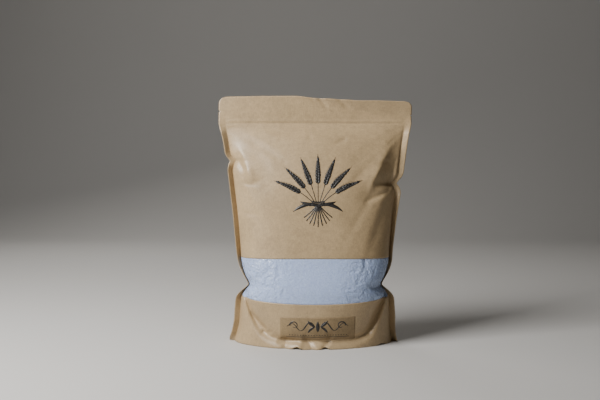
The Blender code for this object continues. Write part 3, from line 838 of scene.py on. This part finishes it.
class Finish:
    """A material being made, which starts with a shader and the places on the piece."""

    def __init__(self, name):
        self.material = bpy.data.materials.new(name)
        self.material.use_nodes = True
        self.tree = self.material.node_tree
        self.tree.nodes.clear()
        shader = self.node("ShaderNodeBsdfPrincipled")
        self.shader = shader.socket.node
        self.node("ShaderNodeOutputMaterial", sockets={"Surface": shader}, output=None)
        self.place = self.node("ShaderNodeTexCoord", output="Object")

    def node(self, kind, settings=(), sockets=(), output=0):
        """Adds a node with its settings, feeds its sockets and gives one of its outputs."""
        node = self.tree.nodes.new(kind)
        for key, value in dict(settings).items():
            setattr(node, key, value)
        for key, value in dict(sockets).items():
            self.feed(node.inputs[key], value)
        return None if output is None else Signal(self, node.outputs[output])

    def feed(self, socket, value):
        """Links a signal to the socket, or sets a constant on it."""
        if isinstance(value, Signal):
            self.tree.links.new(value.socket, socket)
        else:
            socket.default_value = value

    def wear(self, **sockets):
        """Feeds the shader's own sockets, named with underscores for spaces."""
        for key, value in sockets.items():
            self.feed(self.shader.inputs[key.replace("_", " ")], value)
        return self.material

    def noise(self, scale=1.0, detail=2.0, roughness=0.5, stretch=None):
        """Soft marks, scale of them in a metre, or as many each way as stretch says."""
        place = self.place
        if stretch:
            place = self.node("ShaderNodeMapping", sockets={"Vector": place, "Scale": stretch})
        values = {"Vector": place, "Scale": scale, "Detail": detail, "Roughness": roughness}
        return self.node("ShaderNodeTexNoise", sockets=values)

    def ramp(self, value, low, high):
        """0 below low and 1 above high."""
        values = {"Value": value, "From Min": low, "From Max": high}
        return self.node("ShaderNodeMapRange", sockets=values)

    def mix(self, share, first, second):
        """A colour between two, the first where share is 0."""
        values = {0: share, 6: first, 7: second}
        return self.node("ShaderNodeMix", {"data_type": "RGBA"}, values, output=2)

    def bump(self, height, distance, normal=None):
        """A normal dented by height, on top of another normal if one is given."""
        values = {"Height": height, "Distance": distance}
        if normal:
            values["Normal"] = normal
        return self.node("ShaderNodeBump", sockets=values)


def shaded(colour, factor, lift=0):
    """The colour made darker or lighter, with full opacity."""
    return [min(c * factor + lift, 1) for c in colour] + [1]


def kraft_material(name, colour, coat, roughness, crumple):
    """Brown paper: long fibres, cloudy tone, dark flecks and a faint rib, under a thin laminate."""
    paper = Finish(name)
    fibre = paper.noise(detail=3.0, stretch=LONG_FIBRES)
    cross = paper.noise(detail=2.0, stretch=CROSS_FIBRES)
    cloud = paper.noise(scale=38, detail=4.0)
    fleck = paper.ramp(paper.noise(scale=620, detail=1.0), low=0.66, high=0.78)
    rib = paper.noise(detail=1.0, stretch=RIBS)
    mottle = paper.noise(scale=210, detail=3.0)
    tone = 0.5 + 0.9 * (cloud - 0.5) + 0.7 * (mottle - 0.5) - 0.6 * fleck
    tone = tone + 1.2 * (fibre - 0.5) + 0.7 * (cross - 0.5)
    grain = paper.bump(0.6 * fibre + 0.4 * cross + 0.25 * rib, distance=0.05 * MM)
    dents = paper.noise(scale=70, detail=3.0, roughness=0.62)
    folds = paper.bump(dents, distance=crumple, normal=grain)
    return paper.wear(
        Base_Color=paper.mix(tone, shaded(colour, 0.76), shaded(colour, 1.2)),
        Roughness=roughness + 0.16 * (cloud - 0.5) + 0.1 * (fibre - 0.5),
        Coat_Weight=coat,
        Coat_Roughness=0.36,
        Specular_IOR_Level=0.4,
        Normal=folds,
    )


def film_material(colour, milkiness):
    """Clear film that clings to the flour: milky, glossy and crinkled towards its ends."""
    film = Finish("clear_film")
    across = film.node("ShaderNodeSeparateXYZ", sockets={0: film.place}, output="X")
    ends = film.ramp(abs(across), low=20 * MM, high=75 * MM)
    coarse = film.noise(scale=75, detail=3.0, roughness=0.6)
    ridges = 1 - abs(coarse - 0.5) * 4
    fine = film.noise(scale=420, detail=2.0)
    height = ridges * (0.14 + 0.86 * ends) + 0.1 * fine
    touch = film.ramp(film.noise(scale=520, detail=3.0, roughness=0.7), low=0.34, high=0.66)
    return film.wear(
        Base_Color=film.mix(touch, shaded(colour, 0.86), shaded(colour, 1.12)),
        Alpha=milkiness + 0.12 * film.ramp(coarse, low=0.3, high=0.7) * ends,
        Roughness=0.14 + 0.12 * fine,
        IOR=1.5,
        Normal=film.bump(height, distance=2.2 * MM),
    )


def flour_material(colour):
    """White powder pressed against the film: small lumps, pores darkened with painted shade and
    hardly any sheen.
    """
    flour = Finish("flour")
    lumps = flour.noise(scale=260, detail=5.0, roughness=0.7)
    grain = flour.noise(scale=1600, detail=2.0)
    shaded_pores = flour.ramp(flour.noise(scale=700, detail=2.0), low=0.62, high=0.74)
    # The pores are darkened in the colour: painted shade in the small hollows that the bump also
    # dents.
    tone = 0.65 + 1.3 * (lumps - 0.5) + 0.5 * (grain - 0.5) - 0.6 * shaded_pores
    return flour.wear(
        Base_Color=flour.mix(tone, shaded(colour, 0.8), shaded(colour, 1)),
        Roughness=0.95,
        Specular_IOR_Level=0.2,
        Normal=flour.bump(lumps + 0.3 * grain - 0.5 * shaded_pores, distance=0.35 * MM),
    )


def ink_material(colour):
    """Printing ink that lets a little of the paper's grain through."""
    ink = Finish("black_ink")
    grain = ink.noise(scale=1500, detail=2.0)
    thin = ink.ramp(ink.noise(scale=2600, detail=2.0), low=0.6, high=0.75)
    return ink.wear(
        Base_Color=ink.mix(thin * 0.6, shaded(colour, 1), shaded(colour, 3, lift=0.03)),
        Roughness=0.42 + 0.15 * grain,
        Coat_Weight=0.2,
        Coat_Roughness=0.3,
        Normal=ink.bump(grain, distance=0.02 * MM),
    )


def floor_material(colour):
    """A plain matt floor, a little cloudy."""
    floor = Finish("studio_floor")
    cloud = floor.noise(scale=3.0, detail=2.0)
    tone = floor.mix(cloud, shaded(colour, 0.98), shaded(colour, 1))
    return floor.wear(Base_Color=tone, Roughness=0.85)


def ribbon_mesh(name, strokes):
    """Flat strokes in millimetres as strips of faces that face the front."""
    points, faces = [], []
    for path, widths in strokes:
        path = np.array(path, float)
        along = np.gradient(path, axis=0)
        along /= np.linalg.norm(along, axis=1, keepdims=True)
        left = np.stack([-along[:, 1], along[:, 0]], axis=1) * np.array(widths)[:, None] / 2
        start = len(points)
        for centre, aside in zip(path, left):
            for x, z in (centre + aside, centre - aside):
                points.append((x * MM, CAD_BOX[0].y - FLOAT_GAP, z * MM))
        for i in range(start, len(points) - 2, 2):
            faces.append((i, i + 1, i + 3, i + 2))
    return mesh_object(name, np.array(points), faces)


def lay_on(piece, target, gap, thickness):
    """Presses a flat piece that floats before the pouch onto the target and thickens it."""
    apply_modifier(
        piece, "SHRINKWRAP", target=target, wrap_method="PROJECT",
        use_project_y=True, use_positive_direction=True, use_negative_direction=False,
    )
    bpy.ops.transform.translate(value=(0, -gap, 0))
    bpy.ops.object.transform_apply(location=True, rotation=False, scale=False)
    apply_modifier(piece, "SOLIDIFY", thickness=thickness, offset=1)


def curved_path(start, angle, length, bend, steps):
    """Points of a line that leaves start at the angle and bends evenly."""
    turn = np.radians(angle + bend * np.linspace(0, 1, steps)[1:])
    strides = np.stack([np.sin(turn), np.cos(turn)], axis=1) * (length / (steps - 1))
    return np.array(start) + np.concatenate([[(0, 0)], np.cumsum(strides, axis=0)])


def leaf(start, angle, length, width, bend=0.0, steps=7):
    """A stroke that swells in the middle."""
    swell = np.sin(math.pi * np.linspace(0, 1, steps)) ** STROKE_FULLNESS
    return Stroke(curved_path(start, angle, length, bend, steps), STROKE_TIP + width * swell)


def line(start, angle, length, width, bend=0.0, steps=8, taper=0.0):
    """A stroke of even width, or one that thins towards its end by the share in taper."""
    thinned = 1 - taper * np.linspace(0, 1, steps)
    return Stroke(curved_path(start, angle, length, bend, steps), width * thinned)


def wheat_ear(root, lean, bend):
    """An ear of wheat: pairs of grains with their beards along a stem, and a grain at the tip."""
    stem = line(root, lean, EAR_LENGTH, EAR_STEM_WIDTH, bend, steps=GRAIN_PAIRS + 1)
    strokes = [stem]
    for pair, at in enumerate(stem.path[:-1]):
        share = pair / (GRAIN_PAIRS - 1)
        swell = 1 - EAR_SWELL * abs(share - EAR_FULLEST)
        length, width = GRAIN_LENGTH * swell, GRAIN_WIDTH * swell
        for hand in (-1, 1):
            tilt = lean + bend * share + hand * (GRAIN_TILT - GRAIN_TILT_LOST * share)
            grain = leaf(at, tilt, length, width, -hand * GRAIN_BEND)
            strokes.append(grain)
            beard = tilt - hand * BEARD_TURN, BEARD_LENGTH, BEARD_WIDTH, -hand * BEARD_BEND
            strokes.append(line(grain.path[-1], *beard, steps=4, taper=BEARD_TAPER))
    tip_width = GRAIN_WIDTH * TIP_GRAIN_SLIMNESS
    strokes.append(leaf(stem.path[-1], lean + bend, GRAIN_LENGTH, tip_width))
    return strokes


def wheat_sheaf():
    """A fan of wheat ears on stalks tied with a band, about 84 mm across, as flat strokes."""
    strokes = []
    tie = np.array((0.0, TIE_HEIGHT))
    for number, angle in enumerate(EAR_ANGLES):
        length = STALK_LENGTH + MIDDLE_STALK_EXTRA * math.cos(math.radians(angle))
        side = (number - (len(EAR_ANGLES) - 1) / 2) * STALK_SPACING
        first, bend = angle * (1 - STALK_BEND), angle * STALK_BEND
        stalk = line(tie + (side, 0), first, length, STALK_WIDTH, bend, steps=10)
        strokes.append(stalk)
        strokes += wheat_ear(stalk.path[-1], angle, angle * EAR_BEND)
    for angle in STALK_ENDS:
        length = STALK_END_LENGTH - abs(angle) * STALK_END_LOSS
        strokes.append(line(tie, 180 - angle, length, STALK_END_WIDTH, -angle * STALK_BEND))
    for angle, bend, length in SHEAF_LEAVES:
        strokes.append(leaf(tie, angle, length, SHEAF_LEAF_WIDTH, bend, steps=14))
    across = range(-BAND_HALF_LENGTH, BAND_HALF_LENGTH + 1, 2)
    for height in BAND_HEIGHTS:
        band = [(x, TIE_HEIGHT + height + BAND_SAG * x * x) for x in across]
        strokes.append(Stroke(band, [BAND_WIDTH] * len(band)))
    return strokes


def pen_ornament(width, height):
    """A lozenge between mirrored pen curls over a fine rule, as flat strokes in millimetres."""
    middle = height * 0.1
    foot = 0, middle - height * 0.24
    strokes = [leaf(foot, 0, length=height * 0.48, width=4.4, steps=9)]
    # A wave runs out to each side and dies away, and a curl winds in on itself near its end.
    share = np.linspace(0, 1, 40)
    swing = 3 * math.pi * share
    wave_x = 4 + share * width * 0.36
    wave_z = middle + height * 0.22 * np.sin(swing) * (1 - 0.45 * share)
    wave_widths = 0.6 + 1.4 * np.abs(np.cos(swing)) * (1 - share)
    turn = np.linspace(0, 1.75 * math.pi, 30)
    reach = height * 0.2 * (1 - turn / (2.6 * math.pi))
    curl_x = width * 0.31 + reach * np.cos(turn)
    curl_z = middle + height * 0.04 + reach * np.sin(turn)
    curl_widths = np.linspace(1.7, 0.5, len(turn))
    for hand in (-1, 1):
        strokes.append(Stroke(np.stack([hand * wave_x, wave_z], axis=1), wave_widths))
        strokes.append(Stroke(np.stack([hand * curl_x, curl_z], axis=1), curl_widths))
        for lean, bend in ((74, -46), (106, 46)):
            petal = {"length": 12, "width": 2.6, "bend": hand * bend, "steps": 9}
            strokes.append(leaf((hand * 3, middle), hand * lean, **petal))
    rule_x = np.linspace(-width * 0.42, width * 0.42, 60)
    rule = np.stack([rule_x, np.full_like(rule_x, -height * 0.36)], axis=1)
    strokes.append(Stroke(rule, [0.6] * len(rule)))
    # Short dashes stand over the rule.
    for x in np.arange(-width * 0.38, width * 0.39, 3.2):
        strokes.append(leaf((x, -height * 0.28), 90, length=1.6, width=0.9, steps=5))
    return strokes


def moved(strokes, x, z):
    """The strokes moved across and up."""
    return [Stroke(np.array(s.path) + (x, z), s.widths) for s in strokes]


# What every colour in the settings has.
COLOUR = {"subtype": "COLOR", "size": 3, "min": 0.0, "max": 1.0}


class FlourPouchPaper(bpy.types.PropertyGroup):
    """The kraft paper's look."""

    kraft: bpy.props.FloatVectorProperty(
        name="Kraft paper", description="Colour of the brown paper",
        default=(0.425, 0.308, 0.170), **COLOUR,
    )
    laminate: bpy.props.FloatProperty(
        name="Laminate", description="How much of the clear laminate's sheen the paper has",
        default=0.4, min=0.0, max=1.0, subtype="FACTOR",
    )
    roughness: bpy.props.FloatProperty(
        name="Roughness", description="Roughness of the paper under its laminate",
        default=0.5, min=0.0, max=1.0, subtype="FACTOR",
    )
    crumple: bpy.props.FloatProperty(
        name="Small dents", description="Height of the small dents all over the paper",
        default=0.5 * MM, min=0.0, max=3 * MM, unit="LENGTH", precision=5,
    )


class FlourPouchWindow(bpy.types.PropertyGroup):
    """The clear window band and the flour behind it."""

    film: bpy.props.FloatVectorProperty(
        name="Film", description="Tint of the milky film",
        default=(0.54, 0.67, 1.0), **COLOUR,
    )
    milkiness: bpy.props.FloatProperty(
        name="Milkiness", description="How much of the flour the film hides",
        default=0.42, min=0.0, max=1.0, subtype="FACTOR",
    )
    flour: bpy.props.FloatVectorProperty(
        name="Flour", description="Colour of the flour",
        default=(0.76, 0.83, 1.0), **COLOUR,
    )


class FlourPouchLabels(bpy.types.PropertyGroup):
    """The sticker on the skirt and the print on the front."""

    width: bpy.props.FloatProperty(
        name="Label width", description="Width of the sticker",
        default=89 * MM, unit="LENGTH",
    )
    height: bpy.props.FloatProperty(
        name="Label height", description="Height of the sticker",
        default=28 * MM, unit="LENGTH",
    )
    place: bpy.props.FloatVectorProperty(
        name="Label place", description="Middle of the sticker, across and up",
        default=(2.4 * MM, 24.8 * MM), size=2, unit="LENGTH",
    )
    label: bpy.props.FloatVectorProperty(
        name="Label paper", description="Colour of the sticker",
        default=(0.275, 0.197, 0.104), **COLOUR,
    )
    ink: bpy.props.FloatVectorProperty(
        name="Ink", description="Colour of the print",
        default=(0.012, 0.011, 0.010), **COLOUR,
    )
    print_place: bpy.props.FloatVectorProperty(
        name="Print place", description="Middle of the wheat sheaf, across and up",
        default=(3 * MM, 185 * MM), size=2, unit="LENGTH",
    )


class FlourPouchStage(bpy.types.PropertyGroup):
    """The floor, the lights and the camera."""

    floor: bpy.props.FloatVectorProperty(
        name="Floor", description="Colour of the floor",
        default=(0.56, 0.55, 0.53), **COLOUR,
    )
    key: bpy.props.FloatProperty(
        name="Key light", description="Power of the soft light at the upper left",
        default=22.5, unit="POWER",
    )
    fill: bpy.props.FloatProperty(
        name="Fill light", description="Power of the weak light at the right",
        default=0.16, unit="POWER",
    )
    back: bpy.props.FloatProperty(
        name="Back light", description="Power of the soft light behind, at the left",
        default=5.0, unit="POWER",
    )
    surround: bpy.props.FloatProperty(
        name="Surround", description="Strength of the light from all around", default=0.018, min=0.0
    )


class FLOURPOUCH_OT_paper(bpy.types.Operator):
    """Add the pouch: front, back, base, side seals and header"""

    bl_idname = "flour_pouch.add_paper"
    bl_label = "Paper pouch"

    def execute(self, context):
        look = context.scene.flour_pouch_paper
        front, back, cut = paper_grids()
        front, back = crumpled(front, back, cut)
        pouch = make_pouch(front, back, cut)
        finish = look.kraft, look.laminate, look.roughness, look.crumple
        finish_piece(pouch, kraft_material("kraft_paper", *finish), ["pouch"])
        return {"FINISHED"}


class FLOURPOUCH_OT_window(bpy.types.Operator):
    """Cut the window's pocket into the front and fill it with flour under a clear film"""

    bl_idname = "flour_pouch.add_window"
    bl_label = "Window and flour"

    def execute(self, context):
        look = context.scene.flour_pouch_window
        pouch = bpy.data.objects["pouch_paper"]
        opening = window_faces()
        film = copied_patch(pouch, opening, "clear_window")
        flour = copied_patch(pouch, opening, "flour_fill")
        select_faces(pouch, opening)
        inwards = {"value": -POCKET_DEPTH}
        bpy.ops.mesh.extrude_region_shrink_fatten(TRANSFORM_OT_shrink_fatten=inwards)
        bpy.ops.object.mode_set(mode="OBJECT")
        every = slice(None)
        fatten(film, every, -FILM_INSET)
        apply_modifier(film, "SOLIDIFY", thickness=FILM_THICKNESS, offset=-1)
        fatten(flour, every, -FLOUR_GAP)
        apply_modifier(flour, "SOLIDIFY", thickness=FLOUR_THICKNESS, offset=-1)
        finish_piece(film, film_material(look.film, look.milkiness), ["window_film"])
        finish_piece(flour, flour_material(look.flour), ["flour"])
        return {"FINISHED"}


class FLOURPOUCH_OT_label(bpy.types.Operator):
    """Add the sticker on the skirt, with its pen ornament"""

    bl_idname = "flour_pouch.add_label"
    bl_label = "Skirt label"

    def execute(self, context):
        look = context.scene.flour_pouch_labels
        pouch = bpy.data.objects["pouch_paper"]
        width, height = look.width / MM, look.height / MM
        x, z = (c / MM for c in look.place)
        across = x + np.linspace(-width / 2, width / 2, LABEL_COLUMNS + 1)
        up = z + np.linspace(-height / 2, height / 2, LABEL_ROWS + 1)
        grid = np.stack(np.meshgrid(across, up), axis=-1) * MM
        grid = np.insert(grid, 1, CAD_BOX[0].y - FLOAT_GAP, axis=-1)
        label = mesh_object("skirt_label", grid, grid_quads(numbered(grid.shape[:2])))
        lay_on(label, pouch, LABEL_GAP, LABEL_THICKNESS)
        finish = look.label, LABEL_LAMINATE, LABEL_ROUGHNESS, LABEL_CRUMPLE
        paper = kraft_material("label_paper", *finish)
        finish_piece(label, paper, ["front_label"])
        ornament = ribbon_mesh("label_ornament", moved(pen_ornament(width, height), x, z))
        lay_on(ornament, label, ORNAMENT_GAP, INK_THICKNESS)
        finish_piece(ornament, ink_material(look.ink))
        return {"FINISHED"}


class FLOURPOUCH_OT_print(bpy.types.Operator):
    """Add the wheat sheaf printed on the front"""

    bl_idname = "flour_pouch.add_print"
    bl_label = "Wheat print"

    def execute(self, context):
        look = context.scene.flour_pouch_labels
        x, z = (c / MM for c in look.print_place)
        sheaf = ribbon_mesh("wheat_print", moved(wheat_sheaf(), x, z))
        lay_on(sheaf, bpy.data.objects["pouch_paper"], PRINT_GAP, INK_THICKNESS)
        finish_piece(sheaf, ink_material(look.ink))
        return {"FINISHED"}


def floor_profile():
    """Points of the floor from the front to the sweep behind the pouch, and up the wall."""
    sweep_y = SWEEP_START + SWEEP_RADIUS * np.sin(SWEEP_TURNS)
    sweep_z = SWEEP_RADIUS - SWEEP_RADIUS * np.cos(SWEEP_TURNS)
    wall = SWEEP_START + SWEEP_RADIUS
    return [(FLOOR_FRONT, 0), (SWEEP_START, 0), *zip(sweep_y, sweep_z), (wall, WALL_TOP)]


def area_light(name, lamp, power):
    """A soft square lamp, turned to what it is aimed at."""
    light = bpy.data.lights.new(name, "AREA")
    light.shape = "RECTANGLE"
    light.size = light.size_y = lamp.size
    light.energy = power
    light.color = lamp.colour
    stand = bpy.data.objects.new(name, light)
    stand.location = lamp.place
    direction = Vector(lamp.aim) - Vector(lamp.place)
    stand.rotation_euler = direction.to_track_quat("-Z", "Y").to_euler()
    bpy.context.scene.collection.objects.link(stand)


class FLOURPOUCH_OT_stage(bpy.types.Operator):
    """Add the floor, the lights and the camera"""

    bl_idname = "flour_pouch.add_stage"
    bl_label = "Stage"

    def execute(self, context):
        look = context.scene.flour_pouch_stage
        floor = np.array([[(x, y, z) for y, z in floor_profile()] for x in FLOOR_SIDES])
        faces = grid_quads(numbered(floor.shape[:2])[::-1])
        sweep = mesh_object("studio_floor", floor, faces)
        sweep.data.materials.append(floor_material(look.floor))
        for name, lamp in LAMPS.items():
            area_light(name, lamp, getattr(look, name))
        world = bpy.data.worlds.new("surround")
        world.use_nodes = True
        background = world.node_tree.nodes["Background"]
        background.inputs["Color"].default_value = SURROUND_COLOUR
        background.inputs["Strength"].default_value = look.surround
        context.scene.world = world
        camera = bpy.data.cameras.new("camera")
        camera.lens = CAMERA_LENS
        eye = bpy.data.objects.new("camera", camera)
        eye.location = CAMERA_PLACE
        eye.rotation_euler = (math.radians(90 - CAMERA_PITCH), 0, 0)
        context.scene.collection.objects.link(eye)
        context.scene.camera = eye
        return {"FINISHED"}


class FLOURPOUCH_PT_sidebar(bpy.types.Panel):
    """The pouch's pieces and their settings"""

    bl_label = "Flour pouch"
    bl_space_type = "VIEW_3D"
    bl_region_type = "UI"
    bl_category = "Flour pouch"

    def draw(self, context):
        for operators, settings in PANEL_ROWS:
            for operator in operators:
                self.layout.operator(operator.bl_idname)
            group = getattr(context.scene, settings)
            for name in group.__annotations__:
                self.layout.prop(group, name)


# The settings by their name on the scene, and the operators with the settings they use.
SETTINGS = {
    "flour_pouch_paper": FlourPouchPaper,
    "flour_pouch_window": FlourPouchWindow,
    "flour_pouch_labels": FlourPouchLabels,
    "flour_pouch_stage": FlourPouchStage,
}
PANEL_ROWS = (
    ((FLOURPOUCH_OT_paper,), "flour_pouch_paper"),
    ((FLOURPOUCH_OT_window,), "flour_pouch_window"),
    ((FLOURPOUCH_OT_label, FLOURPOUCH_OT_print), "flour_pouch_labels"),
    ((FLOURPOUCH_OT_stage,), "flour_pouch_stage"),
)
OPERATORS = [operator for operators, _ in PANEL_ROWS for operator in operators]


def register():
    for made in [*SETTINGS.values(), *OPERATORS, FLOURPOUCH_PT_sidebar]:
        bpy.utils.register_class(made)
    for name, group in SETTINGS.items():
        setattr(bpy.types.Scene, name, bpy.props.PointerProperty(type=group))


def unregister():
    for name in SETTINGS:
        delattr(bpy.types.Scene, name)
    for made in [FLOURPOUCH_PT_sidebar, *OPERATORS[::-1], *list(SETTINGS.values())[::-1]]:
        bpy.utils.unregister_class(made)


def main():
    register()
    bpy.ops.flour_pouch.add_paper()
    bpy.ops.flour_pouch.add_window()
    bpy.ops.flour_pouch.add_label()
    bpy.ops.flour_pouch.add_print()
    bpy.ops.flour_pouch.add_stage()


if __name__ == "__main__":
    main()
